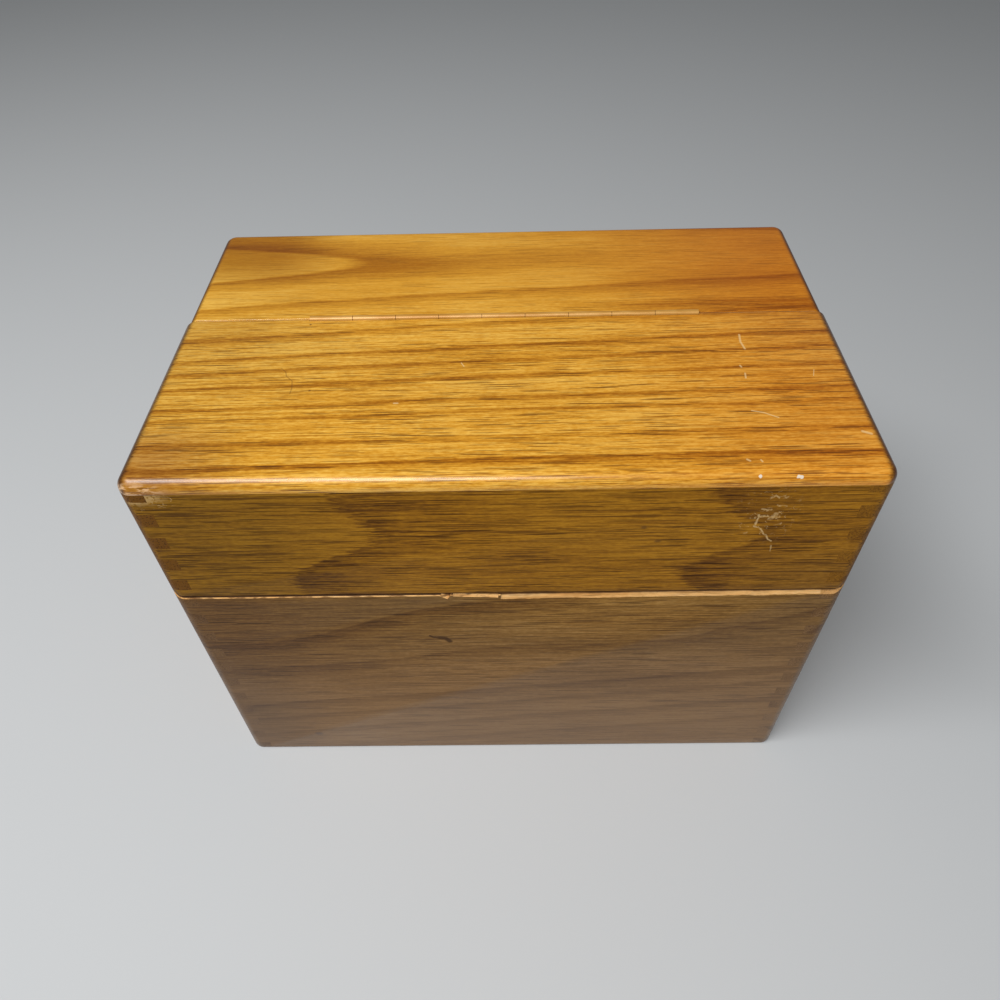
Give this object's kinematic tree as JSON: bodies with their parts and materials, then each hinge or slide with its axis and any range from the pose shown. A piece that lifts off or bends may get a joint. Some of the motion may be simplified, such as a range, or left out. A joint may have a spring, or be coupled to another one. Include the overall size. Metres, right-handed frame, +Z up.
{
  "type": "recipe card box",
  "caption": "Finger-jointed oak box for 6 by 4 inch cards, with a hooded front lid on a flush hinge across the top.",
  "frame": {"origin": "middle of the box's underside, on the surface it stands on", "axes": "+Z up, +X across the box's width to the right as seen from the front, -Y towards the front face"},
  "size_m": [0.1684, 0.1054, 0.1249],
  "materials": {
    "oak": "honey lacquer over open-pored oak",
    "plywood": "bare birch plywood",
    "brass": "dull worn brass",
    "steel": "plain steel wire"
  },
  "bodies": {
    "base": {"base_front": "oak", "base_back": "oak", "base_left_side": "oak", "base_right_side": "oak", "bottom_panel": "plywood", "bottom_brads": "steel", "rear_top": "oak", "hinge_leaf_base": "brass", "hinge_pin": "brass", "hinge_screws_base": "brass"},
    "lid": {"lid_top": "oak", "lid_front": "oak", "lid_left_cheek": "oak", "lid_right_cheek": "oak", "hinge_leaf_lid": "brass", "hinge_screws_lid": "brass"}
  },
  "joints": [
    {"name": "lid_hinge", "type": "hinge", "parent": "base", "child": "lid", "pos_m": [0, 0.00725, 0.12405], "axis": [-1, 0, 0], "range_deg": [0, 118]}
  ]
}
